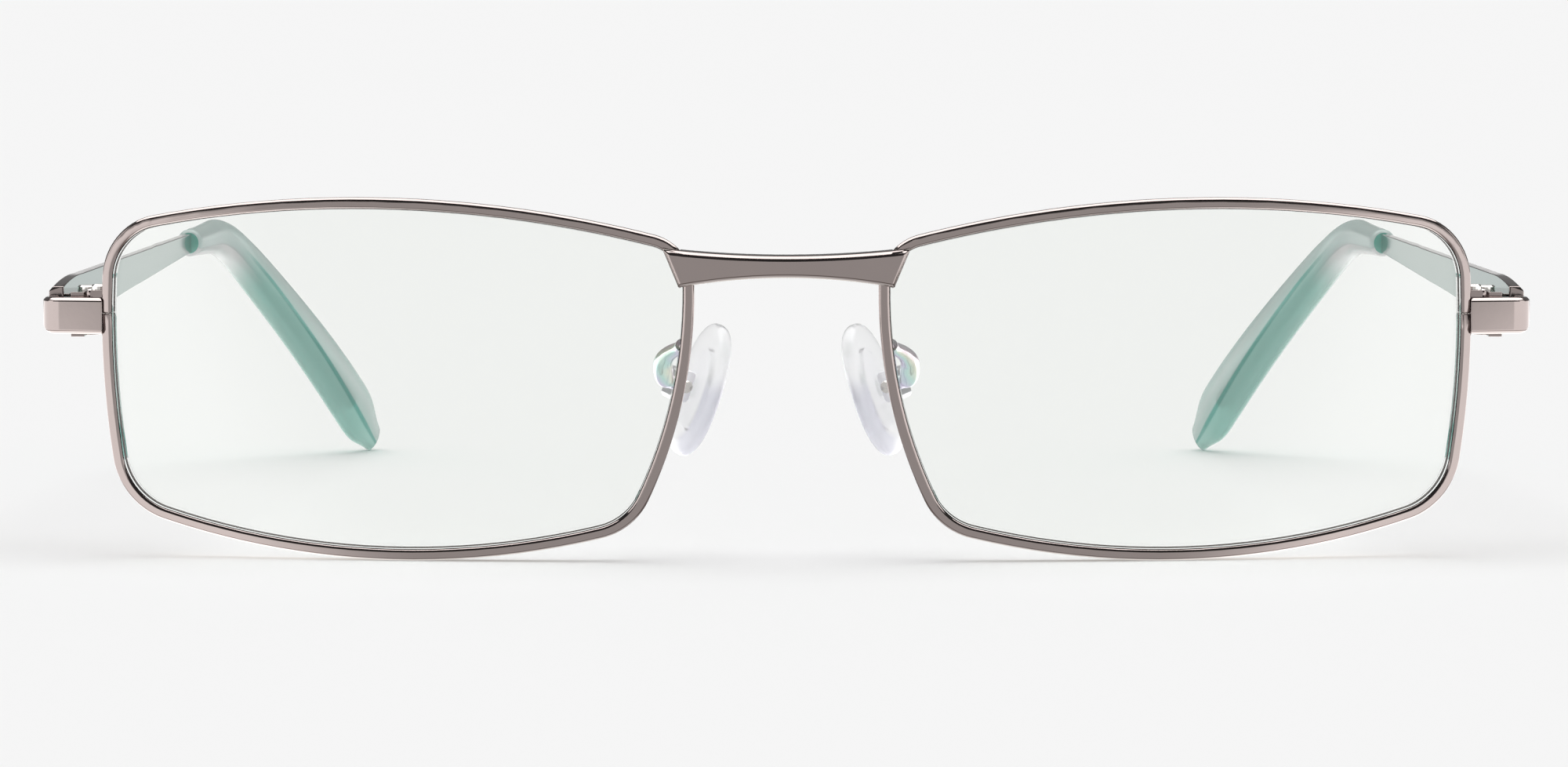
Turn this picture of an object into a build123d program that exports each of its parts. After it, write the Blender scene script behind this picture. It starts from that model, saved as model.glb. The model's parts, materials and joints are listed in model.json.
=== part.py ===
from build123d import *
import os

# Rectangular metal eyeglasses with spring hinges, 55 mm lenses and 140 mm temples.
# All sizes are millimetres and degrees. X is lateral, Y runs from the front to the back, Z is up.
# Heights are counted from the middle of the lenses until the finished pair is set on the floor.
# Every piece is made for the wearer's left side, at +X, and mirrored for the right side.

# Front: two rims bent to a sphere, wrapped and tilted
base_radius = 140.0
rim_gap = 16.5
wrap_angle = 7.0
front_tilt = 6.0

# Rim, seen square on; the outline is four bulged sides with rounded corners
rim_width = 57.2
rim_height = 34.5
rim_face = 1.1
rim_depth = 1.9
rim_bevel = 0.22
corner_shares = ((-0.799, -0.827), (0.942, -0.751), (0.987, 0.815), (-1.001, 0.765))
corner_radii = (6.6, 6.9, 6.4, 5.0)
side_bulges = (3.6, 0.8, 3.65, 2.1)
groove_depth = 0.5
groove_setback = 0.55
groove_width = 0.8
split_width = 0.15
split_height = 5.6
rim_steps = 6
braze_gap = 0.01

# Lens
lens_thickness = 1.5
lens_setback = 0.2
lens_gap = 0.05
bevel_width = 0.7

# Bridge plate, over the upper nasal corners of both rims
bridge_overlap_top = 3.25
bridge_overlap_low = 1.75
bridge_drop = 0.6
bridge_end_height = 3.6
bridge_middle_height = 2.05
bridge_dip = 0.5
bridge_thickness = 1.6
bridge_proud = 0.55
bridge_bow = 1.1
bridge_bevel = 0.35

# End piece: a strip that leaves the rim, turns the corner and runs back to the hinge
end_reach = 5.55
end_run = 4.58
end_drop = 0.45
end_height = 3.4
end_thickness = 1.4
end_overlap = 0.25
end_proud = 0.45
end_slant = 1.3
end_corner_radius = 2.2
end_low_radius = 1.1
end_top_radius = 0.5
end_edge = 0.3

# Hinge: pin axis, knuckles and the face where the temple butts on the end piece
pin_inset = 3.85
arm_setback = 0.45
butt_setback = 1.9
knuckle_radius = 1.25
knuckle_height = 1.3
slider_knuckle = 1.4
washer_height = 0.1
running_gap = 0.1
leaf_length = 2.2
pin_radius = 0.6
pin_gap = 0.04
pin_head_radius = 1.0
pin_head_height = 0.45
slot_width = 0.25

# Spring box on the temple, with its plug, slider rod, spring and nut
box_front = 1.6
box_length = 10.4
box_height = 3.3
box_depth = 3.15
box_bore = 0.9
box_end_wall = 0.8
box_edge = 0.4
box_rear_radius = 1.6
plug_length = 1.6
rod_radius = 0.42
rod_gap = 0.05
neck_height = 1.2
neck_gap = 0.1
nut_radius = 0.8
nut_length = 1.0
nut_clearance = 1.0
spring_turns = 5
spring_wire = 0.24
spring_gap = 0.1

# Temple arm, in its own straight frame: X across, Y back from the hinge pin, Z up
toe_in = 4.0
arm_thickness = 1.4
arm_end_thickness = 1.25
arm_length = 78.0
head_lead = 1.9
head_step_low = 0.1
head_step_top = 0.5
crest_y = 9.0
crest_rise = 1.0
crest_shares = (0.33, 0.85)
arm_climb = 1.55
arm_end_height = 1.95
arm_low_y = 12.0
arm_low_rise = 0.6
arm_bevel = 0.4

# Temple end: core wire and plastic tip along a bent line
core_shift = 0.4
bend_in = 1.4
bend_run = 17.0
bend_rise = 0.22
tip_in = 12.4
tip_run = 30.2
tip_lift = 1.06
bend_radius = 18.0
wire_radius = 0.7
wire_gap = 0.05
wire_end_share = 0.86
wire_clear_share = 0.01
tip_end_share = 0.99
tip_heights = (2.5, 2.8, 3.3, 3.9, 4.4, 4.75, 5.1, 5.4, 5.7, 6.0, 6.25, 6.4, 6.1, 3.4)
tip_widths = (2.6, 2.5, 2.6, 2.7, 2.8, 2.85, 2.9, 2.9, 2.9, 2.9, 2.85, 2.8, 2.6, 1.5)

# Rim lock: two blocks behind the end piece, drawn together by a screw
lock_bite = 0.33
lock_gap = 0.35
lock_depth = 2.8
lock_height = 1.9
lock_round = 0.4
lock_split = 0.3
lock_screw_radius = 0.5
lock_head_radius = 0.8
lock_head_height = 0.5

# Nose pad, its core and box; the pad's own frame has its face towards -X and its length along Z
pad_inset = 0.05
pad_back = 8.45
pad_fall = 4.75
pad_splay = 27.0
pad_lean = 18.0
pad_length = 13.0
pad_width = 7.2
pad_thickness = 2.0
pad_edge = 0.85
core_length = 8.0
core_width = 3.6
core_thickness = 0.6
stem_height = 1.6
stem_width = 1.0
stem_gap = 0.35
pad_gap = 0.05
cup_width = 2.2
cup_height = 3.0
cup_depth = 2.0
cup_offset = 0.3
cup_wall = 0.45
pad_pivot = 1.0
pad_screw_radius = 0.35
pad_screw_head = 0.6
pad_screw_head_height = 0.3

# Pad arm wire, from its foot on the rim
foot_share = -0.965
foot_height = 3.6
foot_reach = 2.6
foot_fall = 1.0
guard_radius = 0.6
loop_out = 2.08
loop_back = 4.65
loop_drop = 2.3
loop_height = 2.3
loop_depth = 1.0
loop_radius = 1.2

overrun = 1.0
loft_reach = 9.0
mid_share = 0.5
near_edge_share = 0.1
head_bevel_share = 0.33


def block(low, high):
    """A box between two corners."""
    size = Vector(*high) - Vector(*low)
    middle = (Vector(*high) + Vector(*low)) / 2
    return Pos(middle) * Box(size.X, size.Y, size.Z)


def post(radius, low, high, x=0.0, y=0.0):
    """An upright cylinder from one height to another."""
    return Pos(x, y, (low + high) / 2) * Cylinder(radius, high - low)


def along_y(radius, start, end, x=0.0, z=0.0):
    """A cylinder that runs front to back."""
    return Pos(x, (start + end) / 2, z) * Rot(90, 0, 0) * Cylinder(radius, end - start)


def ring_post(radius, wall, height):
    """An upright tube, centred on the origin."""
    return Cylinder(radius, height) - Cylinder(radius - wall, height)


def wall_of(outline):
    """A front view outline made solid from front to back."""
    return extrude(Plane.XZ * outline, half_rim_width, both=True)


def point_at(place, point):
    """Where a place carries a point."""
    return (place * Pos(point)).position


def on_sphere(across, up, depth):
    """A point on the rim's sphere, in the lens frame, at a depth behind the front face."""
    ray = Vector(across, -base_radius, up).normalized()
    return Vector(0, base_radius, 0) + ray * (base_radius - depth)


def rim_outline(inset=0.0):
    """The rim's front outline: four bulged sides with rounded corners, drawn in by an inset."""
    corners = [Vector(x * half_rim_width, y * half_rim_height) for x, y in corner_shares]
    sides = []
    for index, bulge in enumerate(side_bulges):
        start = corners[index]
        end = corners[(index + 1) % len(corners)]
        run = end - start
        outward = Vector(run.Y, -run.X).normalized()
        sides.append(ThreePointArc(start, (start + end) / 2 + outward * bulge, end))
    face = make_face(sides)
    for corner, radius in zip(corners, corner_radii):
        face = fillet(face.vertices().sort_by_distance(corner)[0], radius)
    return offset(face, amount=-inset) if inset else face


def lens_cone(inset=0.0):
    """A solid whose walls point at the centre of the front's sphere, all round the outline."""
    face = rim_outline(inset)
    near_share = (base_radius + overrun) / base_radius
    far_share = (base_radius - loft_reach) / base_radius
    near = Pos(0, -overrun, 0) * (Plane.XZ * scale(face, by=near_share))
    far = Pos(0, loft_reach, 0) * (Plane.XZ * scale(face, by=far_share))
    return loft([near, far], ruled=True)


def shell_between(front_depth, back_depth):
    """The space between two spheres, measured back from the rim's front face."""
    centre = Pos(0, base_radius, 0)
    return centre * Sphere(base_radius - front_depth) - centre * Sphere(base_radius - back_depth)


def make_rim_blank():
    """The rim's outer volume and a brazing gap round it, for the pieces that are brazed to the rim."""
    return lens_place * (lens_cone(-braze_gap) & shell_between(-braze_gap, rim_depth + braze_gap))


# Places that follow from the front
half_rim_width = rim_width / 2
half_rim_height = rim_height / 2
front_place = Rot(front_tilt, 0, 0)
lens_place = front_place * Pos((rim_gap + rim_width) / 2, 0, 0) * Rot(0, 0, wrap_angle)
left_blank = make_rim_blank()
rim_low_z = left_blank.bounding_box().min.Z + braze_gap
rim_seat = point_at(lens_place, on_sphere(half_rim_width, split_height, 0))
split_spot = point_at(lens_place, on_sphere(half_rim_width, split_height + split_width / 2, rim_depth))
pad_foot = point_at(lens_place, on_sphere(foot_share * half_rim_width, foot_height, rim_depth / 2))

# Places of the end piece and the hinge
end_start_x = rim_seat.X - end_overlap
end_start_y = rim_seat.Y - end_proud
end_corner_y = end_start_y + end_slant
end_outer_x = rim_seat.X + end_reach
end_inner_x = end_outer_x - end_thickness
end_middle_z = split_spot.Z - end_drop
end_low = end_middle_z - end_height / 2
end_top = end_middle_z + end_height / 2
butt_y = rim_seat.Y + end_run
pin_x = end_outer_x - pin_inset
pin_y = butt_y + butt_setback
hinge_middle_z = end_middle_z
hinge_half = knuckle_height + washer_height + slider_knuckle / 2
hinge_low_z = hinge_middle_z - hinge_half
hinge_top_z = hinge_middle_z + hinge_half
lock_low_x = split_spot.X - lock_bite
lock_high_x = pin_x - lock_gap
lock_low_y = end_start_y + end_thickness
lock_high_y = lock_low_y + lock_depth
lock_x = (lock_low_x + lock_high_x) / 2
lock_y = (lock_low_y + lock_high_y) / 2

# Places along the temple, in its own frame
arm_outer = pin_inset - arm_setback
arm_inner = arm_outer - arm_thickness
arm_end_inner = arm_outer - arm_end_thickness
arm_head_y = -butt_setback - head_lead
arm_head_low = end_low + head_step_low
arm_head_top = end_top + head_step_top
arm_end_top = arm_head_top + arm_climb
arm_end_low = arm_end_top - arm_end_height
arm_end_middle_x = (arm_outer + arm_end_inner) / 2
arm_end_middle_z = (arm_end_top + arm_end_low) / 2
box_inner = arm_inner - box_depth
box_end = box_front + box_length
nut_end = box_end - box_end_wall - nut_clearance
bend_x = arm_end_middle_x - bend_in
bend_y = arm_length + bend_run
bend_z = arm_end_middle_z + bend_rise
temple_place = Pos(pin_x, pin_y, 0) * Rot(0, 0, toe_in)

# Places of the nose pad
pad_half = pad_thickness / 2
pivot_x = pad_half + pad_pivot
cup_front = pad_half + cup_offset
cup_back = cup_front + cup_depth
pad_place = (Pos(rim_gap / 2 - pad_inset, pad_foot.Y + pad_back, pad_foot.Z - pad_fall)
             * Rot(0, -pad_lean, 0) * Rot(0, 0, -pad_splay))


def rim_stretches():
    """Spots and directions along the outline, from the split round to the split, one list per arc."""
    outline = rim_outline().wire()
    nearest = outline.distance_to_with_closest_points((half_rim_width, split_height, 0))[1]
    start = outline.param_at_point(nearest)
    cut = split_width / outline.length / 2
    joins = sorted((outline.param_at_point(vertex.center()) - start) % 1 for vertex in outline.vertices())
    stops = [cut, *joins, 1 - cut]
    stretches = []
    for low, high in zip(stops, stops[1:]):
        shares = [(start + low + (high - low) * step / rim_steps) % 1 for step in range(rim_steps + 1)]
        stretches.append([(outline.position_at(share), outline.tangent_at(share)) for share in shares])
    return stretches


def rim_line(stretch, inset, depth):
    """One edge of the rim: a stretch of the outline drawn in, then carried onto the sphere."""
    points = []
    for spot, along in stretch:
        inner = spot + Vector(-along.Y, along.X) * inset
        points.append(on_sphere(inner.X, inner.Y, depth))
    return Spline(points)


def make_rim():
    """The grooved, bevelled wire: flat strips between its long edges, closed by a face at each end."""
    groove_back = groove_setback + groove_width
    groove_inset = rim_face - groove_depth
    profile = [
        (0, rim_bevel), (rim_bevel, 0), (rim_face - rim_bevel, 0), (rim_face, rim_bevel),
        (rim_face, groove_setback), (groove_inset, groove_setback), (groove_inset, groove_back),
        (rim_face, groove_back), (rim_face, rim_depth), (0, rim_depth)]
    rows = [[rim_line(stretch, *corner) for corner in profile] for stretch in rim_stretches()]
    faces = []
    for lines in rows:
        for line, next_line in zip(lines, lines[1:] + lines[:1]):
            faces.append(Face.make_surface_from_curves(line, next_line))
    for lines, end in ((rows[0], 0), (rows[-1], 1)):
        faces.append(make_face(Polyline(*[line.position_at(end) for line in lines], close=True)))
    return lens_place * Solid(Shell(faces))


def make_lens():
    body = lens_cone(rim_face + lens_gap) & shell_between(lens_setback, lens_setback + lens_thickness)
    edge_front = groove_setback + (groove_width - bevel_width) / 2
    edge_inset = rim_face - groove_depth + lens_gap
    body += lens_cone(edge_inset) & shell_between(edge_front, edge_front + bevel_width)
    return lens_place * body


def make_bridge(rim_blanks):
    """A bowed plate whose ends lie on the rims and follow their inner corners."""
    corner_share, corner_height_share = corner_shares[-1]
    end_x = rim_gap / 2 + bridge_overlap_top
    foot_x = rim_gap / 2 + bridge_overlap_low
    end_top_z = corner_height_share * half_rim_height - bridge_drop
    end_low_z = end_top_z - bridge_end_height
    middle_top_z = end_top_z - bridge_dip
    middle_low_z = middle_top_z - bridge_middle_height
    outline = make_face([
        ThreePointArc((-end_x, end_top_z), (0, middle_top_z), (end_x, end_top_z)),
        Line((end_x, end_top_z), (foot_x, end_low_z)),
        ThreePointArc((foot_x, end_low_z), (0, middle_low_z), (-foot_x, end_low_z)),
        Line((-foot_x, end_low_z), (-end_x, end_top_z)),
    ])
    seat = point_at(lens_place, on_sphere(corner_share * half_rim_width, end_low_z, 0))
    end_y = point_at(front_place.inverse(), seat).Y - bridge_proud
    bow_radius = (end_x**2 + bridge_bow**2) / (2 * bridge_bow)
    bow_y = end_y - bridge_bow + bow_radius
    curved = Pos(0, bow_y, middle_top_z) * ring_post(bow_radius, bridge_thickness, rim_height)
    plate = wall_of(outline) & curved
    front_edges = []
    for edge in plate.edges():
        spot = edge.position_at(mid_share)
        reach = Vector(spot.X, spot.Y - bow_y).length
        if abs(reach - bow_radius) < bridge_bevel * near_edge_share:
            front_edges.append(edge)
    plate = front_place * chamfer(front_edges, bridge_bevel)
    for blank in rim_blanks:
        plate -= blank
    return plate


def make_end_piece(rim_blank):
    """A strip that covers the rim's outer edge, turns the corner and ends at the temple."""
    outer = (end_outer_x, end_corner_y)
    inner = (end_inner_x, end_corner_y + end_thickness)
    plan = make_face(Polyline(
        (end_start_x, end_start_y), outer, (end_outer_x, butt_y), (end_inner_x, butt_y),
        inner, (end_start_x, end_start_y + end_thickness), close=True))
    plan = fillet(plan.vertices().sort_by_distance(outer)[0], end_corner_radius)
    plan = fillet(plan.vertices().sort_by_distance(inner)[0], end_corner_radius - end_thickness)
    strip = Pos(0, 0, end_low) * extrude(plan, end_height)
    long_edges = strip.edges().filter_by_position(Axis.Z, end_low, end_low)
    long_edges += strip.edges().filter_by_position(Axis.Z, end_top, end_top)
    kept = [edge for edge in long_edges if edge.position_at(mid_share).X > rim_seat.X]
    strip = chamfer(kept, end_edge)
    front = make_face(Polyline(
        (0, end_low), (end_outer_x, end_low), (end_outer_x, end_top), (0, end_top), close=True))
    for height, radius in ((end_low, end_low_radius), (end_top, end_top_radius)):
        front = fillet(front.vertices().sort_by_distance((end_outer_x, height))[0], radius)
    return (strip & wall_of(front)) - rim_blank


def make_rim_lock(rim_blank, end_piece, upper):
    """One half of the block that closes the rim behind the end piece."""
    low = split_spot.Z + lock_split / 2 if upper else split_spot.Z - lock_height
    high = split_spot.Z + lock_height if upper else split_spot.Z - lock_split / 2
    body = block((lock_low_x, lock_low_y, low), (lock_high_x, lock_high_y, high))
    body = fillet(body.edges().filter_by(Axis.Z), lock_round)
    body -= post(lock_screw_radius + pin_gap, low - overrun, high + overrun, lock_x, lock_y)
    return body - rim_blank - end_piece


def make_screw(radius, low, high, head_radius, head_height):
    """An upright screw with a slotted head on top, at the origin."""
    shank = post(radius, low, high)
    head = post(head_radius, high, high + head_height)
    rim = head.edges().filter_by(GeomType.CIRCLE).sort_by(Axis.Z)[-1]
    head = chamfer(rim, head_height * head_bevel_share)
    slot_low = (-head_radius, -slot_width / 2, high + head_height / 2)
    slot_high = (head_radius, slot_width / 2, high + head_height + overrun)
    return shank + (head - block(slot_low, slot_high))


def make_lock_screw():
    low = split_spot.Z - lock_height
    high = split_spot.Z + lock_height
    return Pos(lock_x, lock_y, 0) * make_screw(
        lock_screw_radius, low, high, lock_head_radius, lock_head_height)


def make_front_hinge(end_piece):
    """The leaf brazed inside the end piece, with the upper and lower knuckles."""
    leaf_y = butt_y - leaf_length
    leaf_low = end_low + end_edge
    leaf_high = end_top - end_edge
    body = post(knuckle_radius, hinge_low_z, hinge_top_z, pin_x, pin_y)
    body += block((pin_x, leaf_y, hinge_low_z), (pin_x + knuckle_radius, pin_y, hinge_top_z))
    body += block((pin_x, leaf_y, leaf_low), (end_inner_x, butt_y - running_gap, leaf_high))
    gap_half = slider_knuckle / 2 + washer_height
    body -= post(knuckle_radius + running_gap, hinge_middle_z - gap_half,
                 hinge_middle_z + gap_half, pin_x, pin_y)
    body -= post(pin_radius + pin_gap, hinge_low_z - overrun, hinge_top_z + overrun, pin_x, pin_y)
    return body - end_piece


def make_hinge_screw():
    return Pos(pin_x, pin_y, 0) * make_screw(
        pin_radius, hinge_low_z, hinge_top_z, pin_head_radius, pin_head_height)


def make_washers():
    """Two thin washers, one above and one below the middle knuckle."""
    bore = post(pin_radius + pin_gap, hinge_low_z, hinge_top_z, pin_x, pin_y)
    half = slider_knuckle / 2
    above = hinge_middle_z + half
    below = hinge_middle_z - half
    upper = post(knuckle_radius, above, above + washer_height, pin_x, pin_y) - bore
    lower = post(knuckle_radius, below - washer_height, below, pin_x, pin_y) - bore
    return Compound([upper, lower])


def make_slider():
    """The middle knuckle with its neck and the rod that the spring pulls on."""
    half = slider_knuckle / 2
    neck_half = neck_height / 2
    body = post(knuckle_radius, hinge_middle_z - half, hinge_middle_z + half)
    body += block((-neck_half, 0, hinge_middle_z - neck_half),
                  (neck_half, box_front - neck_gap, hinge_middle_z + neck_half))
    body += along_y(rod_radius, 0, nut_end, 0, hinge_middle_z)
    body -= post(pin_radius + pin_gap, hinge_low_z, hinge_top_z)
    return temple_place * body


def make_slider_nut():
    nut = along_y(nut_radius, nut_end - nut_length, nut_end, 0, hinge_middle_z)
    return temple_place * (nut - along_y(rod_radius, 0, nut_end + overrun, 0, hinge_middle_z))


def make_spring():
    """A helical spring round the rod, between the plug and the nut."""
    start = box_front + plug_length + spring_wire
    length = nut_end - nut_length - spring_wire - start
    radius = rod_radius + spring_gap + spring_wire / 2
    line = Helix(length / spring_turns, length, radius, center=(0, start, hinge_middle_z),
                 direction=(0, 1, 0))
    wire = Plane(origin=line @ 0, z_dir=line % 0) * Rectangle(spring_wire, spring_wire)
    return temple_place * sweep(wire, path=line, is_frenet=True)


def make_hinge_box():
    """The spring box on the inner face of the arm, bored from the front."""
    half = box_height / 2
    body = block((box_inner, box_front, hinge_middle_z - half), (arm_inner, box_end, hinge_middle_z + half))
    rear = body.edges().filter_by(Axis.Z).sort_by(Axis.Y)[-2:].sort_by(Axis.X)[0]
    body = fillet(rear, box_rear_radius)
    inner = body.faces().filter_by(Plane.YZ).sort_by(Axis.X)[0]
    body = fillet(inner.edges().filter_by(Axis.Y), box_edge)
    bore = along_y(box_bore, box_front - overrun, box_end - box_end_wall, 0, hinge_middle_z)
    return temple_place * (body - bore)


def make_hinge_plug():
    plug = along_y(box_bore, box_front, box_front + plug_length, 0, hinge_middle_z)
    return temple_place * (plug - along_y(rod_radius + rod_gap, 0, box_length, 0, hinge_middle_z))


def tip_line():
    """The line that the core wire and the plastic tip follow, down to the floor that the rims stand on."""
    start = (arm_end_middle_x - core_shift, arm_length, arm_end_middle_z)
    end = (bend_x - tip_in, bend_y + tip_run, rim_low_z + tip_lift)
    return FilletPolyline(start, (bend_x, bend_y, bend_z), end, radius=bend_radius)


def core_wire(radius, end_share):
    line = tip_line().trim(0, end_share)
    circle = Plane(origin=line @ 0, z_dir=line % 0) * Circle(radius)
    return sweep(circle, path=line)


def make_temple_arm():
    """A flat arm, tallest just behind the hinge, that ends in a round core wire."""
    head_top = (arm_head_y, arm_head_top)
    head_low = (arm_head_y, arm_head_low)
    crest = (crest_y, arm_head_top + crest_rise)
    rise_share, height_share = crest_shares
    shoulder = (crest_y * rise_share, arm_head_top + crest_rise * height_share)
    end_top_spot = (arm_length, arm_end_top)
    end_low_spot = (arm_length, arm_end_low)
    low_spot = (arm_low_y, arm_head_low + arm_low_rise)
    side = make_face([
        ThreePointArc(head_top, shoulder, crest),
        Polyline(crest, end_top_spot, end_low_spot, low_spot, head_low, head_top),
    ])
    slab = extrude(Plane.YZ * side, arm_outer + overrun)
    plan = make_face(Polyline(
        (arm_outer, arm_head_y), (arm_outer, arm_length), (arm_end_inner, arm_length),
        (arm_inner, box_end), (arm_inner, arm_head_y), close=True))
    arm = slab & extrude(plan, rim_height, both=True)
    outer = arm.faces().filter_by(Plane.YZ).sort_by(Axis.X)[-1]
    long_edges = [edge for edge in outer.edges() if edge.length > arm_head_top - arm_head_low + arm_bevel]
    arm = chamfer(long_edges, arm_bevel)
    arm += core_wire(wire_radius, wire_end_share)
    front = block((0, -arm_length, -rim_height), (end_outer_x + rim_width, butt_y + running_gap, rim_height))
    return temple_place * arm - front


def make_temple_tip(arm):
    """The plastic tip: evenly spaced oval sections along the bent line, bored for the core wire."""
    line = tip_line()
    sections = []
    last = len(tip_heights) - 1
    for index, (height, width) in enumerate(zip(tip_heights, tip_widths)):
        share = tip_end_share * index / last
        along = line.tangent_at(share)
        across = along.cross(Vector(0, 0, 1)).normalized()
        place = Plane(origin=line.position_at(share), x_dir=across, z_dir=along)
        sections.append(place * Ellipse(width / 2, height / 2))
    bore = core_wire(wire_radius + wire_gap, wire_end_share + wire_clear_share)
    return temple_place * (loft(sections) - bore) - arm


def pad_outline(length, width):
    return Plane.YZ * Ellipse(width / 2, length / 2)


def make_pad_core():
    """The stiff core inside the pad, with the stem that the cup holds."""
    plate = Pos(-core_thickness / 2, 0, 0) * extrude(pad_outline(core_length, core_width), core_thickness)
    stem_end = cup_back - cup_wall - stem_gap
    core = plate + block((0, -stem_width / 2, -stem_height / 2), (stem_end, stem_width / 2, stem_height / 2))
    hole = Pos(pivot_x, 0, 0) * along_y(pad_screw_radius + pin_gap, -cup_width, cup_width)
    return pad_place * (core - hole)


def make_nose_pad(core):
    """An oval silicone pad with rounded edges, moulded round its core."""
    body = Pos(-pad_half, 0, 0) * extrude(pad_outline(pad_length, pad_width), pad_thickness)
    body = fillet(body.edges(), pad_edge)
    return pad_place * body - core


def make_cup_blank():
    """The cup's outer volume, for the wire that ends on it."""
    half_width = cup_width / 2
    half_height = cup_height / 2
    body = block((cup_front, -half_width, -half_height), (cup_back, half_width, half_height))
    return fillet(body.edges().filter_by(Axis.Y), cup_wall)


def make_pad_cup(cup_blank):
    """The small cup that holds the stem between two cheeks."""
    slot_half = stem_width / 2 + pad_gap
    slot_end = cup_height / 2 - cup_wall
    body = cup_blank - block((cup_front - overrun, -slot_half, -slot_end),
                             (cup_back - cup_wall, slot_half, slot_end))
    body -= Pos(pivot_x, 0, 0) * along_y(pad_screw_radius + pin_gap, -cup_width, cup_width)
    return pad_place * body


def make_pad_screw():
    half = cup_width / 2
    screw = make_screw(pad_screw_radius, -half, half, pad_screw_head, pad_screw_head_height)
    return pad_place * Pos(pivot_x, 0, 0) * Rot(90, 0, 0) * screw


def make_pad_arm(rim_blank, cup_blank):
    """The wire from the back of the rim, round its loop, to the cup."""
    leave = pad_foot + Vector(0, foot_reach, -foot_fall)
    loop_high = pad_foot + Vector(loop_out, loop_back, -loop_drop)
    loop_low = loop_high + Vector(0, loop_depth, -loop_height)
    cup_entry = point_at(pad_place, Vector(cup_back - cup_wall / 2, 0, 0))
    line = FilletPolyline(
        pad_foot, leave, loop_high, loop_low, cup_entry, radius=[guard_radius, loop_radius, loop_radius])
    circle = Plane(origin=line @ 0, z_dir=line % 0) * Circle(guard_radius)
    return sweep(circle, path=line) - rim_blank - pad_place * cup_blank


def make_left_side(rim_blank):
    """Every piece of the wearer's left half, by name."""
    end_piece = make_end_piece(rim_blank)
    core = make_pad_core()
    cup_blank = make_cup_blank()
    arm = make_temple_arm()
    return {
        "rim": make_rim(),
        "lens": make_lens(),
        "end_piece": end_piece,
        "rim_lock_upper": make_rim_lock(rim_blank, end_piece, True),
        "rim_lock_lower": make_rim_lock(rim_blank, end_piece, False),
        "rim_screw": make_lock_screw(),
        "front_hinge": make_front_hinge(end_piece),
        "hinge_screw": make_hinge_screw(),
        "hinge_washers": make_washers(),
        "hinge_slider": make_slider(),
        "slider_nut": make_slider_nut(),
        "hinge_spring": make_spring(),
        "hinge_box": make_hinge_box(),
        "hinge_plug": make_hinge_plug(),
        "temple_arm": arm,
        "temple_tip": make_temple_tip(arm),
        "pad_arm": make_pad_arm(rim_blank, cup_blank),
        "pad_cup": make_pad_cup(cup_blank),
        "pad_screw": make_pad_screw(),
        "pad_core": core,
        "nose_pad": make_nose_pad(core),
    }


shapes = {"bridge": make_bridge([left_blank, left_blank.mirror(Plane.YZ)])}
for name, shape in make_left_side(left_blank).items():
    shapes["left_" + name] = shape
    shapes["right_" + name] = shape.mirror(Plane.YZ)

# The origin is the middle of the whole pair's footprint, on the surface that it stands on
boxes = [shape.bounding_box() for shape in shapes.values()]
front_y = min(box.min.Y for box in boxes)
back_y = max(box.max.Y for box in boxes)
low_z = min(box.min.Z for box in boxes)
to_origin = Pos(0, -(front_y + back_y) / 2, -low_z)
os.makedirs("parts", exist_ok=True)
for name, shape in shapes.items():
    export_step(to_origin * shape, "parts/" + name + ".step")
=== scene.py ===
# %% [markdown]
# # Rectangular metal eyeglasses
# The imported model holds every rigid piece at its real size, so this file only dresses it.
# It gives each piece its finish, and models in mesh code what a plain solid shows poorly:
# pad arms that swell, soft nose pads and translucent temple tips, and it copies the springs.
# Every size is in metres. A value whose name ends in _MM is in millimetres, and is multiplied
# by MM where it is used.

# %% Load the model
import json
import math

import bmesh
import bpy
from mathutils import Matrix, Vector


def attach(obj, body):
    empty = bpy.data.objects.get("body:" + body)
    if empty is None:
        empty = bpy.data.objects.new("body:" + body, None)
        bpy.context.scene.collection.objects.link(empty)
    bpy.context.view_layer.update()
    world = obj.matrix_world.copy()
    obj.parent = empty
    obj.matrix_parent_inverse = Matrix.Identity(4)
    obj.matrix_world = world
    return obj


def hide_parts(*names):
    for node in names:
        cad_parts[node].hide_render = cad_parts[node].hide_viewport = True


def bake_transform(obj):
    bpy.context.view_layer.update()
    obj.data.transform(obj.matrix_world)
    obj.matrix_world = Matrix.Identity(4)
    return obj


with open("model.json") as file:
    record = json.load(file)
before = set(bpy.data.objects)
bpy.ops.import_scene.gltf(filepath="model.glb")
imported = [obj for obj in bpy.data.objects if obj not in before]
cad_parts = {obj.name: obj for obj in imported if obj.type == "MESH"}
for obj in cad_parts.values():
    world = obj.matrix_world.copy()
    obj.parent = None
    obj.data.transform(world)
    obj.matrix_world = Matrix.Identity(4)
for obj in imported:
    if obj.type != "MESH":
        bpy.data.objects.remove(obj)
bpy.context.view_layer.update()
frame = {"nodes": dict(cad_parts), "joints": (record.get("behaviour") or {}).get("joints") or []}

MM = 0.001
SIDES = ("left", "right")
cad_nodes = frame["nodes"]
joints = {joint["name"]: joint for joint in frame["joints"]}
scene = bpy.context.scene
scene.view_settings.view_transform = "Standard"

# %% [markdown]
# ## Camera
# A catalogue photograph of glasses is taken with a long lens from in front, a little above the
# hinges. A distance could be guessed, but it comes here from how much smaller the temple tips
# look than the rims do, and the tilt comes from where the tips meet the floor.

# %% Camera
CAMERA_PLACE = Vector((-0.23 * MM, -716.9 * MM, 61.24 * MM))
CAMERA_TILT = math.radians(3.9135)
FOCAL_LENGTH = 161.1
SENSOR_WIDTH = 36.0

camera = bpy.data.objects.new("camera", bpy.data.cameras.new("camera"))
camera.data.lens = FOCAL_LENGTH
camera.data.sensor_width = SENSOR_WIDTH
camera.location = CAMERA_PLACE
camera.rotation_euler = (math.radians(90) - CAMERA_TILT, 0, 0)
scene.collection.objects.link(camera)
scene.camera = camera

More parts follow.
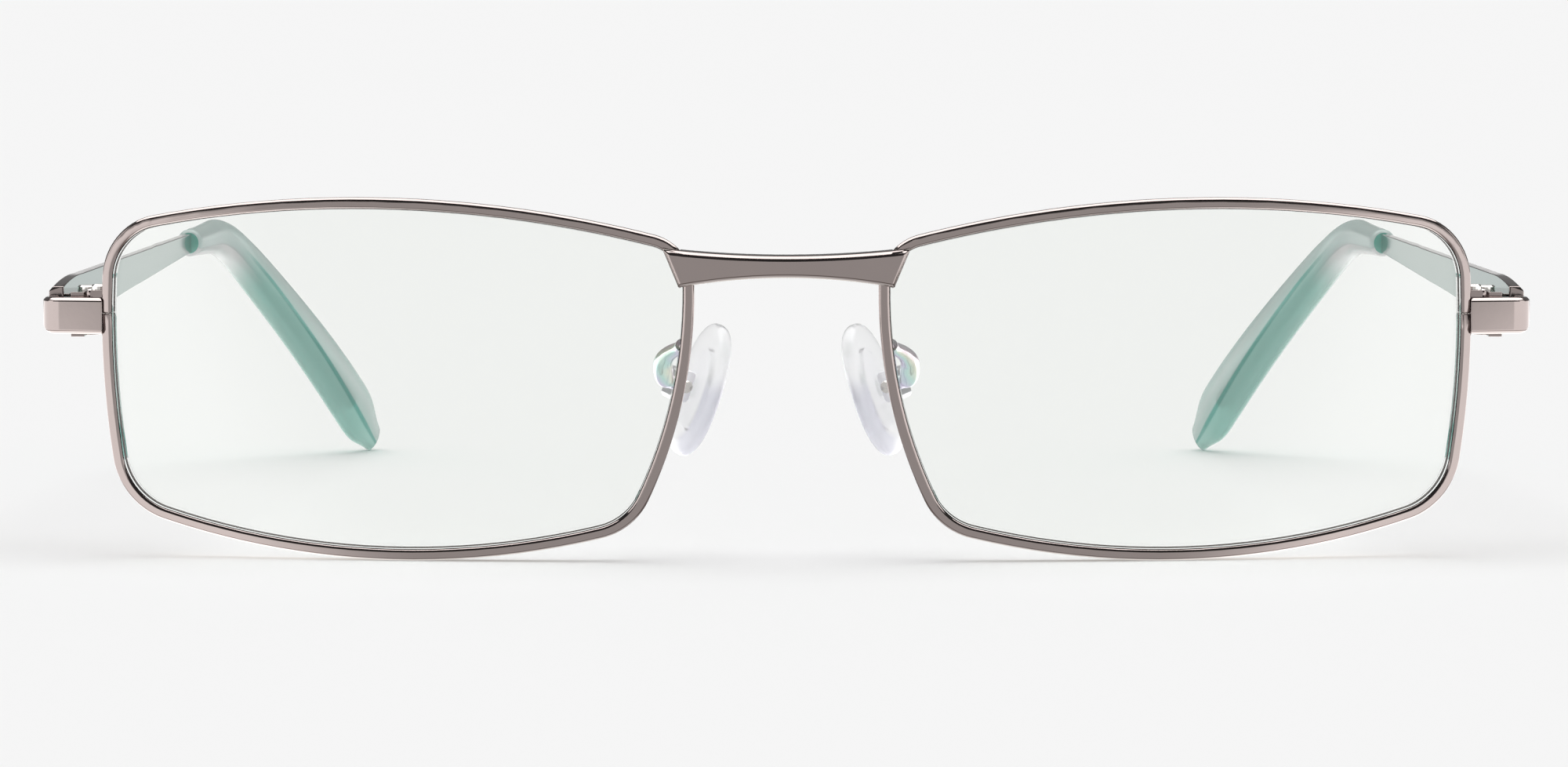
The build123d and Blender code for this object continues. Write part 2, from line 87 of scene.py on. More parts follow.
# %% [markdown]
# ## Node helpers
# Every finish here is a small tree of nodes. Each tree could be wired link by link, but the same
# few steps come back in all of them. So a handful of helpers place them: a sum, a spread from one
# span to another, a row of tones, a mix of two tones and a mix of two shaders.

# %% Objects and empty materials


def link_object(name, data):
    """A new object in the scene, at the origin."""
    made = bpy.data.objects.new(name, data)
    scene.collection.objects.link(made)
    return made


def rectangle(name, left, right, near, far):
    """A mesh of one face at height zero."""
    mesh = bpy.data.meshes.new(name)
    corners = ((left, near, 0), (right, near, 0), (right, far, 0), (left, far, 0))
    mesh.from_pydata(corners, [], [range(len(corners))])
    return mesh


def plain_nodes(name):
    """A new material with an empty node tree and its output node."""
    material = bpy.data.materials.new(name)
    material.use_nodes = True
    tree = material.node_tree
    tree.nodes.clear()
    return material, tree, tree.nodes.new("ShaderNodeOutputMaterial")


# %% Sums and spreads


def feed(tree, socket, value):
    """A number, a tone or another node's output into a socket."""
    if isinstance(value, bpy.types.NodeSocket):
        tree.links.new(value, socket)
    elif isinstance(value, tuple):
        socket.default_value = (*value, 1)
    else:
        socket.default_value = value


def maths(tree, operation, first, second=0.0, clamp=False):
    """The result of a sum on two values."""
    node = tree.nodes.new("ShaderNodeMath")
    node.operation = operation
    node.use_clamp = clamp
    feed(tree, node.inputs[0], first)
    feed(tree, node.inputs[1], second)
    return node.outputs[0]


def spread(tree, value, span=(0.0, 1.0), ends=(0.0, 1.0), kind="LINEAR"):
    """A value taken from one span to another, and kept within it."""
    node = tree.nodes.new("ShaderNodeMapRange")
    node.interpolation_type = kind
    labels = ("Value", "From Min", "From Max", "To Min", "To Max")
    for label, source in zip(labels, (value, *span, *ends)):
        feed(tree, node.inputs[label], source)
    return node.outputs[0]


def place_parts(tree, kind):
    """The X, Y and Z of a texture coordinate, such as Object, Normal or UV."""
    place = tree.nodes.new("ShaderNodeTexCoord")
    parts = tree.nodes.new("ShaderNodeSeparateXYZ")
    feed(tree, parts.inputs[0], place.outputs[kind])
    return parts.outputs


# %% Tones and mixes
# Blender's Mix node keeps its colour sockets behind those for numbers and vectors.
MIX_SHARE, MIX_FIRST, MIX_SECOND = 0, 6, 7
MIX_RESULT = 2
NEW_RAMP_STOPS = 2


def tone_ramp(tree, value, tones):
    """A tone picked by a value from a row of stops, each a share and a tone."""
    node = tree.nodes.new("ShaderNodeValToRGB")
    stops = node.color_ramp.elements
    for index, (share, tone) in enumerate(tones):
        stop = stops[index] if index < NEW_RAMP_STOPS else stops.new(share)
        stop.position = share
        stop.color = (*tone, 1)
    feed(tree, node.inputs[0], value)
    return node.outputs[0]


def mix_tones(tree, share, first, second, kind="MIX"):
    """The first tone where the share is 0, and the second one where it is 1."""
    node = tree.nodes.new("ShaderNodeMix")
    node.data_type = "RGBA"
    node.blend_type = kind
    feed(tree, node.inputs[MIX_SHARE], share)
    feed(tree, node.inputs[MIX_FIRST], first)
    feed(tree, node.inputs[MIX_SECOND], second)
    return node.outputs[MIX_RESULT]


def mix_shaders(tree, share, first, second, output):
    """One shader where the share is 0 and another where it is 1, into the output node."""
    node = tree.nodes.new("ShaderNodeMixShader")
    for socket, source in zip(node.inputs, (share, first.outputs[0], second.outputs[0])):
        feed(tree, socket, source)
    feed(tree, output.inputs[0], node.outputs[0])


# %% [markdown]
# ## Floor
# The glasses stand on a white sweep, which takes their soft shadow. A matte floor alone would give
# every polished underside the same grey. So mirrors see a glowing floor instead, which is brighter
# at the sides of the glasses than in front of them and behind them, as it is under side lamps.
# Light Path's rays tell which of the two is asked for.

# %% Floor
FLOOR_TONE = (0.9, 0.9, 0.9)
FLOOR_SIDE = 8.0
FLOOR_NEAR = -8.0
FLOOR_FAR = 40.0
SIDE_SHARES = (0.52, 0.85)
SIDE_TONES = (0.86, 2.1)

floor = link_object("floor", rectangle("floor", -FLOOR_SIDE, FLOOR_SIDE, FLOOR_NEAR, FLOOR_FAR))
floor_material, floor_tree, floor_output = plain_nodes("white_sweep")
floor_matte = floor_tree.nodes.new("ShaderNodeBsdfDiffuse")
feed(floor_tree, floor_matte.inputs["Color"], FLOOR_TONE)

floor_place = place_parts(floor_tree, "Object")
sideways = maths(floor_tree, "DIVIDE", maths(floor_tree, "ABSOLUTE", floor_place["X"]),
                 maths(floor_tree, "ABSOLUTE", floor_place["Y"]))
side_lit = spread(floor_tree, sideways, SIDE_SHARES, SIDE_TONES, "SMOOTHSTEP")
floor_glow = floor_tree.nodes.new("ShaderNodeEmission")
feed(floor_tree, floor_glow.inputs["Strength"], side_lit)

floor_rays = floor_tree.nodes.new("ShaderNodeLightPath").outputs
past_glass = maths(floor_tree, "SUBTRACT", 1.0, floor_rays["Is Transmission Ray"])
mirror_ray = maths(floor_tree, "MULTIPLY", floor_rays["Is Glossy Ray"], past_glass)
mix_shaders(floor_tree, mirror_ray, floor_matte, floor_glow, floor_output)
floor.data.materials.append(floor_material)
print(f"floor {2 * FLOOR_SIDE:.0f} m wide, glow {SIDE_TONES[0]} ahead and {SIDE_TONES[1]} at the sides")

# %% [markdown]
# ## Room
# Polished metal shows the room more than itself. A real room could be modelled, but the world can
# stand for it: to the camera and through glass it is a pale backdrop, to matte surfaces an even
# sky, and to mirrors a dark room over a bright horizon. The dark and the bright part give each
# rounded edge its two lines.

# %% World
SKY_LIGHT = 0.62
BACKDROP = 0.922
ROOM_DARK = 0.06
ROOM_BACK = 0.22
BACK_START = 0.2
BACK_BLUR = 8.0
HORIZON_TOP = 0.11
HORIZON_BLUR = 25.0

world = bpy.data.worlds.new("studio")
scene.world = world
world.use_nodes = True
world_tree = world.node_tree
world_light = world_tree.nodes["Background"]
feed(world_tree, world_light.inputs["Color"], (1, 1, 1))

heading = place_parts(world_tree, "Generated")
past_back = maths(world_tree, "SUBTRACT", heading["Y"], BACK_START, clamp=True)
behind = maths(world_tree, "MULTIPLY", past_back, BACK_BLUR, clamp=True)
under_top = maths(world_tree, "SUBTRACT", HORIZON_TOP, heading["Z"], clamp=True)
low = maths(world_tree, "MULTIPLY", under_top, HORIZON_BLUR, clamp=True)
room = spread(world_tree, behind, ends=(ROOM_DARK, ROOM_BACK))
mirrored = spread(world_tree, low, ends=(room, BACKDROP))

rays = world_tree.nodes.new("ShaderNodeLightPath").outputs
plain = maths(world_tree, "ADD", rays["Is Camera Ray"], rays["Is Transmission Ray"], clamp=True)
unseen = spread(world_tree, rays["Is Glossy Ray"], ends=(SKY_LIGHT, mirrored))
feed(world_tree, world_light.inputs["Strength"], spread(world_tree, plain, ends=(unseen, BACKDROP)))
print(f"mirrors see {ROOM_DARK} above, {ROOM_BACK} behind and {BACKDROP} at the horizon")

# %% [markdown]
# ## Lamps
# One wide overhead lamp throws the soft shadow. Area lamps could light the metal too, but cards are
# easier to place: they show in reflections only, so a card changes a line on the metal and leaves
# the shadow and the pale pieces as they are.

# %% Overhead lamp
SUN_LIGHT = 1.26
SUN_WIDTH = math.radians(60)

sun_lamp = bpy.data.lights.new("overhead", "SUN")
sun_lamp.energy = SUN_LIGHT
sun_lamp.angle = SUN_WIDTH
sun = link_object("overhead", sun_lamp)
sun.visible_glossy = False
print(f"overhead lamp of strength {SUN_LIGHT}, {math.degrees(SUN_WIDTH):.0f} degrees wide")

# %% Reflection cards
# Each card has its place and size in metres, its turn in degrees and its brightness.
CARDS = {
    "top_card": ((0, 0.1, 1.2), (2.4, 1.3), (180, 0, 0), 4.0),
    "left_card": ((1.6, -0.3, 0.4), (0.9, 1.0), (90, 0, 90), 2.2),
    "right_card": ((-1.6, -0.3, 0.4), (0.9, 1.0), (90, 0, -90), 2.2),
}

for name, (place, size, turn, tone) in CARDS.items():
    half_x, half_y = size[0] / 2, size[1] / 2
    card = link_object(name, rectangle(name, -half_x, half_x, -half_y, half_y))
    card.location = place
    card.rotation_euler = [math.radians(angle) for angle in turn]
    card_material, card_tree, card_output = plain_nodes(name)
    glow = card_tree.nodes.new("ShaderNodeEmission")
    feed(card_tree, glow.inputs["Strength"], tone)
    feed(card_tree, card_output.inputs[0], glow.outputs[0])
    card.data.materials.append(card_material)
    card.visible_camera = False
    card.visible_diffuse = False
    card.visible_transmission = False
    card.visible_shadow = False
    print(name, f"{size[0]} by {size[1]} m, brightness {tone}")

# %% [markdown]
# ## Shared drift
# A real surface is never perfectly even: polishing leaves a faint ripple, and plating, plastic and
# rubber drift a little in tone. Each material could hold its own noise, but one node group makes
# the drift once, and every material uses it with its own scale and amounts.

# %% Drift group
BROAD_DETAIL = 3.0
FINE_DETAIL = 4.0
FINE_TIMES = 7.0


def effect_group(name, inputs, outputs):
    """An empty node group with named sockets: what it is given and what it results in."""
    group = bpy.data.node_groups.new(name, "ShaderNodeTree")
    for label, kind, default in inputs:
        socket = group.interface.new_socket(label, in_out="INPUT", socket_type=kind)
        socket.default_value = default
    for label, kind in outputs:
        group.interface.new_socket(label, in_out="OUTPUT", socket_type=kind)
    return group, group.nodes.new("NodeGroupInput").outputs, group.nodes.new("NodeGroupOutput").inputs


def noise(tree, place, scale, detail):
    """Noise of one scale over a place."""
    node = tree.nodes.new("ShaderNodeTexNoise")
    for label, source in (("Vector", place), ("Scale", scale), ("Detail", detail)):
        feed(tree, node.inputs[label], source)
    return node.outputs[0]


def make_drift_group():
    """Noise in the piece's own space: a mix of two tones, a roughness and a height."""
    group, given, result = effect_group(
        "surface_drift",
        [("Tone A", "NodeSocketColor", (1, 1, 1, 1)), ("Tone B", "NodeSocketColor", (1, 1, 1, 1)),
         ("Scale", "NodeSocketFloat", 100.0), ("Roughness Low", "NodeSocketFloat", 0.1),
         ("Roughness High", "NodeSocketFloat", 0.2)],
        [("Color", "NodeSocketColor"), ("Roughness", "NodeSocketFloat"), ("Height", "NodeSocketFloat")])
    place = group.nodes.new("ShaderNodeTexCoord").outputs["Object"]
    broad = noise(group, place, given["Scale"], BROAD_DETAIL)
    fine = noise(group, place, maths(group, "MULTIPLY", given["Scale"], FINE_TIMES), FINE_DETAIL)
    feed(group, result["Color"], mix_tones(group, broad, given["Tone A"], given["Tone B"]))
    feed(group, result["Roughness"],
         spread(group, fine, ends=(given["Roughness Low"], given["Roughness High"])))
    feed(group, result["Height"], fine)
    return group


drift_group = make_drift_group()
print(drift_group.name, "with", len(drift_group.nodes), "nodes")

# %% [markdown]
# ## Material helpers
# A finish starts as one Principled shader. What is the same all over it, such as how far light
# bends in it, is set on the shader's own sockets. Only what changes over the surface is wired to
# nodes.

# %% Shader and its colour


def surface(name, values):
    """A material with a Principled shader, and plain values for its sockets."""
    material, tree, output = plain_nodes(name)
    shader = tree.nodes.new("ShaderNodeBsdfPrincipled")
    for label, value in values.items():
        feed(tree, shader.inputs[label], value)
    feed(tree, output.inputs[0], shader.outputs[0])
    return material


def shader_of(material):
    """The material's Principled shader."""
    return next(node for node in material.node_tree.nodes if node.type == "BSDF_PRINCIPLED")


def set_colour(material, tone):
    """The tone as the finish's colour."""
    feed(material.node_tree, shader_of(material).inputs["Base Color"], tone)


def colour_of(material):
    """What feeds the finish's colour so far."""
    return shader_of(material).inputs["Base Color"].links[0].from_socket


def tint_colour(material, tone):
    """The finish's colour so far, multiplied by a tone that changes over the surface."""
    set_colour(material, mix_tones(material.node_tree, 1.0, colour_of(material), tone, "MULTIPLY"))


# %% Drift, edges and clearness
RIPPLE_DEPTH = 0.01 * MM


def add_drift(material, scale, roughness, relief, tones=None):
    """The shared drift on a finish's roughness and normal, and on its colour if it has tones."""
    tree = material.node_tree
    shader = shader_of(material)
    drift = tree.nodes.new("ShaderNodeGroup")
    drift.node_tree = drift_group
    bump = tree.nodes.new("ShaderNodeBump")
    feed(tree, drift.inputs["Scale"], scale)
    feed(tree, drift.inputs["Roughness Low"], roughness[0])
    feed(tree, drift.inputs["Roughness High"], roughness[1])
    feed(tree, bump.inputs["Strength"], relief)
    feed(tree, bump.inputs["Distance"], RIPPLE_DEPTH)
    feed(tree, bump.inputs["Height"], drift.outputs["Height"])
    feed(tree, shader.inputs["Roughness"], drift.outputs["Roughness"])
    feed(tree, shader.inputs["Normal"], bump.outputs[0])
    if tones:
        feed(tree, drift.inputs["Tone A"], tones[0])
        feed(tree, drift.inputs["Tone B"], tones[1])
        set_colour(material, drift.outputs["Color"])


def paint_floor_reflection(material, tones):
    """Painted reflection of the floor on the edges that face down, by how far the surface turns towards it.
    """
    tree = material.node_tree
    down = maths(tree, "MULTIPLY", place_parts(tree, "Normal")["Z"], -1.0)
    tint_colour(material, tone_ramp(tree, down, tones))


def lets_lamps_through(material, tint):
    """Lamps shine through the material, tinted, where the real one throws almost no shadow."""
    tree = material.node_tree
    output = next(node for node in tree.nodes if node.type == "OUTPUT_MATERIAL")
    clear = tree.nodes.new("ShaderNodeBsdfTransparent")
    feed(tree, clear.inputs["Color"], tint)
    shadow_ray = tree.nodes.new("ShaderNodeLightPath").outputs["Is Shadow Ray"]
    mix_shaders(tree, shadow_ray, shader_of(material), clear, output)


# %% Dressing a piece


def nodes_called(name):
    """The node of that name, or the pair of nodes that the two sides have of it."""
    return [name] if name in cad_nodes else [side + "_" + name for side in SIDES]


def dress(material, *names):
    """The material on the named nodes."""
    for name in names:
        for node in nodes_called(name):
            data = cad_nodes[node].data
            data.materials.clear()
            data.materials.append(material)
    print(material.name, "on", *names)


# %% [markdown]
# ## Metals
# The frame is plated steel in a warm grey, polished like a mirror. The small turned parts of the
# hinge and the screws are plain bright steel, and the coil spring is a darker one. A metal could
# take its look from the room alone, and most here do. On the plated front the edges that face
# down also get a painted reflection of the floor close under them: a painted dark line where an
# edge begins to turn down, and a painted highlight where it faces the floor.

# %% Metal helper
METAL = {"Metallic": 1.0}


def metal(name, tones, polish):
    """A metal finish of two near tones, with its own polish of the shared drift."""
    material = surface(name, METAL)
    add_drift(material, tones=tones, **polish)
    return material


# %% Plating
WARM_GREY = ((0.31, 0.262, 0.25), (0.285, 0.245, 0.235))
FRONT_POLISH = {"scale": 240, "roughness": (0.06, 0.13), "relief": 0.12}
# Painted reflection of the floor: a painted dark line where an edge starts to turn down, then painted
# highlights where it faces the floor.
PAINTED_FLOOR_REFLECTION = (
    (0.0, (1, 1, 1)), (0.34, (1, 1, 1)),
    (0.42, (0.4, 0.36, 0.34)), (0.54, (0.42, 0.38, 0.36)),
    (0.62, (1.35, 1.4, 1.4)), (0.76, (1.4, 1.45, 1.45)),
    (0.84, (2.8, 3.0, 2.95)), (1.0, (2.3, 2.5, 2.4)),
)

plating = metal("warm_grey_plating", WARM_GREY, FRONT_POLISH)
paint_floor_reflection(plating, PAINTED_FLOOR_REFLECTION)
dress(plating, "bridge", "rim", "end_piece", "rim_lock_upper", "rim_lock_lower", "front_hinge",
      "hinge_box")

# %% Steels
BRIGHT_STEEL = ((0.62, 0.60, 0.57), (0.55, 0.53, 0.51))
SPRING_STEEL = ((0.42, 0.42, 0.43), (0.36, 0.36, 0.37))
TURNED_POLISH = {"scale": 500, "roughness": (0.14, 0.28), "relief": 0.2}
SCREW_POLISH = {"scale": 700, "roughness": (0.10, 0.2), "relief": 0.15}
SPRING_POLISH = {"scale": 700, "roughness": (0.25, 0.35), "relief": 0.2}

dress(metal("turned_steel", BRIGHT_STEEL, TURNED_POLISH), "hinge_slider", "slider_nut", "hinge_plug")
dress(metal("screw_steel", BRIGHT_STEEL, SCREW_POLISH), "hinge_screw", "rim_screw", "pad_screw")
dress(metal("spring_steel", SPRING_STEEL, SPRING_POLISH), "hinge_spring")

# %% [markdown]
# ## Temple arms
# The arms are plated like the front, but their inner faces are lacquered in a pale sea green. The
# lacquer could be a face of its own with another material. Here it goes by the way that the
# surface leans, towards the middle of the glasses or away from it, so that it ends softly on the
# rounded edges.

# %% Temple arm finish
ARM_POLISH = {"scale": 240, "roughness": (0.08, 0.16), "relief": 0.12}
INNER_LACQUER = (0.33, 0.42, 0.395)
INNER_EDGE_SHARES = (0.80, 0.95)

arm_finish = metal("plated_arm_with_inner_lacquer", WARM_GREY, ARM_POLISH)
arm_tree = arm_finish.node_tree
arm_side = maths(arm_tree, "SIGN", place_parts(arm_tree, "Object")["X"])
arm_outward = maths(arm_tree, "MULTIPLY", place_parts(arm_tree, "Normal")["X"], arm_side)
arm_inward = maths(arm_tree, "MULTIPLY", arm_outward, -1.0)
lacquered = spread(arm_tree, arm_inward, INNER_EDGE_SHARES)
set_colour(arm_finish, mix_tones(arm_tree, lacquered, colour_of(arm_finish), INNER_LACQUER))
dress(arm_finish, "temple_arm")

# %% [markdown]
# ## Mesh helpers
# Wire, soft pads and moulded tips are all skins over a row of rings. One helper builds such a skin
# and gives it a UV map that runs along the piece in U and around it in V, so that a finish can be
# painted by those two shares and stays with the piece when it moves.

# %% Skins


def skin(name, rings, material, slot, body, *replaced):
    """A closed skin over rings of points, smooth, with UVs, riding on a body in place of CAD nodes."""
    around = len(rings[0])
    last = len(rings) - 1
    faces = []
    shares = []
    for row in range(last):
        for step in range(around):
            beside = (step + 1) % around
            faces.append((row * around + step, row * around + beside,
                          (row + 1) * around + beside, (row + 1) * around + step))
            shares.append([(row / last, step / around), (row / last, (step + 1) / around),
                           ((row + 1) / last, (step + 1) / around), ((row + 1) / last, step / around)])
    for row in (0, last):
        faces.append([row * around + step for step in range(around)])
        shares.append([(row / last, step / around) for step in range(around)])
    mesh = bpy.data.meshes.new(name)
    mesh.from_pydata([tuple(point) for ring in rings for point in ring], [], faces)
    layer = mesh.uv_layers.new(name="along_around")
    for face, corners in zip(mesh.polygons, shares):
        face.use_smooth = True
        for loop, share in zip(face.loop_indices, corners):
            layer.data[loop].uv = share
    work = bmesh.new()
    work.from_mesh(mesh)
    bmesh.ops.recalc_face_normals(work, faces=work.faces)
    work.to_mesh(mesh)
    work.free()
    mesh.materials.append(material)
    piece = link_object(name, mesh)
    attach(piece, body)
    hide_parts(*replaced)
    print(name, len(mesh.polygons), "faces, in place of", *replaced)
    return piece


# %% Rings and curves


def turns(count):
    """The angles of the points round a ring."""
    return [math.tau * step / count for step in range(count)]


def mirrored_rings(rings, side):
    """The rings as they are on the left, mirrored on the right."""
    sign = 1 if side == "left" else -1
    return [[Vector((sign * point.x, point.y, point.z)) for point in ring] for ring in rings]


def smooth_through(values, share):
    """A value on the smooth curve through a row of points or sizes, by share of the way."""
    last = len(values) - 1
    index = min(int(share * last), last - 1)
    t = share * last - index
    before = values[max(index - 1, 0)]
    here = values[index]
    there = values[index + 1]
    beyond = values[min(index + 2, last)]
    return 0.5 * (2 * here + (there - before) * t + (2 * before - 5 * here + 4 * there - beyond) * t ** 2
                  + (3 * here - before - 3 * there + beyond) * t ** 3)


# %% [markdown]
# ## Pad arms
# Each pad arm is a wire that leaves the back of the rim, swells into a rounded loop and ends on
# the pad's cup. A clear coat on it shimmers like a pearl. The shimmer could come from a thin film
# on the shader. Here it is a painted sheen instead: a ramp of soft green, lilac and cream over the
# way that the surface leans, which is simpler to steer, and it stays with the wire.

# %% Pearly finish
PEARL_COAT = {"Metallic": 0.75, "Coat Weight": 0.6}
PEARL_POLISH = {"scale": 600, "roughness": (0.14, 0.24), "relief": 0.1}
SHEEN_LEAN = (0.35, -0.55, 0.75)
PEARL_SPAN = (-1.0, 1.0)
# Painted sheen: tones by the way the surface leans, in place of the coat's shimmer.
PAINTED_SHEEN_TONES = ((0.0, (0.80, 0.72, 0.84)), (0.25, (0.66, 0.60, 0.82)), (0.42, (0.56, 0.80, 0.76)),
               (0.60, (0.88, 0.90, 0.76)), (0.78, (0.88, 0.70, 0.80)), (1.0, (0.94, 0.92, 0.95)))

pearl = surface("pearly_wire", PEARL_COAT)
add_drift(pearl, **PEARL_POLISH)
pearl_tree = pearl.node_tree
sheen_lean = pearl_tree.nodes.new("ShaderNodeVectorMath")
sheen_lean.operation = "DOT_PRODUCT"
sheen_lean.inputs[1].default_value = SHEEN_LEAN
feed(pearl_tree, sheen_lean.inputs[0], pearl_tree.nodes.new("ShaderNodeTexCoord").outputs["Normal"])
sheen_share = spread(pearl_tree, sheen_lean.outputs["Value"], PEARL_SPAN)
set_colour(pearl, tone_ramp(pearl_tree, sheen_share, PAINTED_SHEEN_TONES))
print(pearl.name, "of", len(PAINTED_SHEEN_TONES), "tones")

# %% Pad cups
PALE_STEEL = ((0.86, 0.85, 0.87), (0.80, 0.80, 0.83))
CUP_POLISH = {"scale": 600, "roughness": (0.25, 0.35), "relief": 0.1}

dress(metal("pale_steel", PALE_STEEL, CUP_POLISH), "pad_cup")

# %% Pad arm wires
WIRE_PLACES_MM = ((9.72, -66.9, 20.39), (9.95, -65.6, 20.1), (10.9, -64.2, 19.5), (11.5, -63.1, 18.7),
                  (11.55, -62.2, 17.7), (11.35, -61.3, 16.95), (10.95, -60.4, 16.6), (10.81, -59.85, 16.49))
WIRE_RADII_MM = (0.6, 0.6, 0.72, 0.88, 0.92, 0.85, 0.65, 0.6)
WIRE_RINGS = 48
WIRE_SIDES = 20


def wire_rings():
    """Rings round the left pad arm's line."""
    line = [Vector(place) * MM for place in WIRE_PLACES_MM]
    radii = [radius * MM for radius in WIRE_RADII_MM]
    step = 1 / WIRE_RINGS
    rings = []
    for row in range(WIRE_RINGS + 1):
        share = row * step
        middle = smooth_through(line, share)
        along = smooth_through(line, min(share + step, 1)) - smooth_through(line, max(share - step, 0))
        across = along.cross(Vector((0, 0, 1))).normalized()
        over = across.cross(along).normalized()
        radius = smooth_through(radii, share)
        rings.append([middle + radius * (across * math.cos(angle) + over * math.sin(angle))
                      for angle in turns(WIRE_SIDES)])
    return rings


for side in SIDES:
    skin(side + "_pad_wire", mirrored_rings(wire_rings(), side), pearl, "pad_wire",
         "front", side + "_pad_arm")

# %% [markdown]
# ## Clear pieces
# The lenses are coated plastic: nearly invisible, with a faint green cast. A lens could be a thin
# see-through sheet, but refraction draws the light and dark lines along its edge by itself, so it
# keeps its real thickness. The stiff cores inside the nose pads bend light less, so that they
# hardly show through the rubber. The washers in the hinges are cloudy nylon.

# %% Lenses
LENS_TINT = (0.945, 0.962, 0.94)
LENS_PLASTIC = {"Base Color": LENS_TINT, "Roughness": 0.0, "IOR": 1.5, "Transmission Weight": 1.0}

lens = surface("coated_lens", LENS_PLASTIC)
lets_lamps_through(lens, LENS_TINT)
dress(lens, "lens")

# %% Pad cores
CORE_TINT = (0.97, 0.97, 0.98)
CORE_PLASTIC = {"Base Color": CORE_TINT, "Roughness": 0.12, "IOR": 1.18, "Transmission Weight": 0.95}

core = surface("clear_core", CORE_PLASTIC)
lets_lamps_through(core, CORE_TINT)
dress(core, "pad_core")

# %% Washers
NYLON_TONES = ((0.80, 0.79, 0.74), (0.74, 0.73, 0.69))
NYLON_GRAIN = {"scale": 900, "roughness": (0.4, 0.55), "relief": 0.2}

nylon = surface("nylon_washer", {})
add_drift(nylon, tones=NYLON_TONES, **NYLON_GRAIN)
dress(nylon, "hinge_washers")

# %% [markdown]
# ## Nose pads
# A silicone pad is a soft oval of clear rubber with a full round edge and a face that is dished a
# little where the nose presses. It could be a squashed sphere, but that has no dish. So it is a
# skin over oval rings that go from the middle of its back, round the edge, to the middle of its
# face. The rubber is milky. Along the lower front part of its edge, where light passes through the
# most of it, the shade that this gives is painted on as a lilac grey stripe.

# %% Nose pad finish
PAD_TINT = (0.975, 0.975, 0.98)
# Painted shade: lilac grey on the lower front part of the edge, where light passes through the most rubber.
PAD_PAINTED_SHADE = (0.66, 0.66, 0.76)
PAD_RUBBER = {"IOR": 1.16, "Transmission Weight": 0.92, "Coat Weight": 0.5, "Coat Roughness": 0.08}
PAD_GRAIN = {"scale": 90, "roughness": (0.26, 0.34), "relief": 0.01}
PAD_BAND = ((0.0, PAD_TINT), (0.20, PAD_TINT), (0.25, PAD_PAINTED_SHADE),
            (0.64, PAD_PAINTED_SHADE), (0.72, PAD_TINT), (1.0, PAD_TINT))
PAD_STRIPE_LOW = (0.3, -0.05)
PAD_STRIPE_FRONT = (0.1, -0.35)

silicone = surface("clear_silicone", PAD_RUBBER)
add_drift(silicone, **PAD_GRAIN)
pad_tree = silicone.node_tree
pad_shares = place_parts(pad_tree, "UV")
pad_band = tone_ramp(pad_tree, pad_shares["X"], PAD_BAND)
pad_turn = maths(pad_tree, "MULTIPLY", pad_shares["Y"], math.tau)
pad_low = spread(pad_tree, maths(pad_tree, "SINE", pad_turn), PAD_STRIPE_LOW, kind="SMOOTHSTEP")
pad_front = spread(pad_tree, maths(pad_tree, "COSINE", pad_turn), PAD_STRIPE_FRONT, kind="SMOOTHSTEP")
pad_shade_stripe = maths(pad_tree, "MULTIPLY", pad_low, pad_front)
set_colour(silicone, mix_tones(pad_tree, pad_shade_stripe, PAD_TINT, pad_band))
lets_lamps_through(silicone, PAD_TINT)
print(silicone.name, "with a stripe of", PAD_PAINTED_SHADE)

# %% Nose pads
PAD_LEAN = math.radians(18)
PAD_SPLAY = math.radians(27)
PAD_PIVOT = 2.0 * MM
PAD_LENGTH = 13.0 * MM
PAD_WIDTH = 7.2 * MM
PAD_HALF_THICK = 1.0 * MM
PAD_SIDES = 48
PAD_FULLNESS = 0.8
# From the back to the face: how wide each ring is, and how deep it lies, as shares of the pad.
PAD_PROFILE = ((0.05, 0.98), (0.3, 0.98), (0.55, 0.97), (0.74, 0.9), (0.88, 0.7), (0.97, 0.38), (1.0, 0.0),
               (0.98, -0.4), (0.91, -0.74), (0.8, -0.94), (0.66, -1.0), (0.45, -0.9), (0.22, -0.8),
               (0.05, -0.77))


def fuller(wave):
    """A sine or cosine drawn out, so that an oval is a little squarer."""
    return math.copysign(abs(wave) ** PAD_FULLNESS, wave)


def pad_rings():
    """Oval rings from the middle of the left pad's back to the middle of its face."""
    turned = Matrix.Rotation(-PAD_LEAN, 3, "Y") @ Matrix.Rotation(-PAD_SPLAY, 3, "Z")
    middle = Vector(joints["left_pad_rock"]["pos_m"]) - turned @ Vector((PAD_PIVOT, 0, 0))
    return [[middle + turned @ Vector((depth * PAD_HALF_THICK,
                                       reach * PAD_WIDTH / 2 * fuller(math.cos(angle)),
                                       reach * PAD_LENGTH / 2 * fuller(math.sin(angle))))
             for angle in turns(PAD_SIDES)]
            for reach, depth in PAD_PROFILE]


for side in SIDES:
    pad = skin(side + "_silicone_pad", mirrored_rings(pad_rings(), side), silicone, "silicone",
               side + "_pad", side + "_nose_pad")
    smoother = pad.modifiers.new("soft", "SUBSURF")
    smoother.levels = 1
    smoother.render_levels = 1

# %% [markdown]
# ## Temple tips
# The tips are moulded round the core wire in translucent teal plastic. Seen from in front, along
# its length, a tip's upper half is pale grey and its lower half deep teal, and a thin dark line
# runs between them where the light bends round the wire. At the bend the plastic turns pale, and
# at its mouth, where it is thickest, dark. Glass with a wire in it could draw these bands, but
# only with many more samples. So they are painted light and shade over the teal: the skin's own
# shares, along and around, place them here.

# %% Temple tip line
TIP_START_MM = (2.375, 78.0, 25.49)
TIP_BEND_MM = (1.375, 95.0, 25.71)
TIP_END_MM = (-11.025, 125.2, 1.01)
TIP_BEND_RADIUS = 18.0 * MM


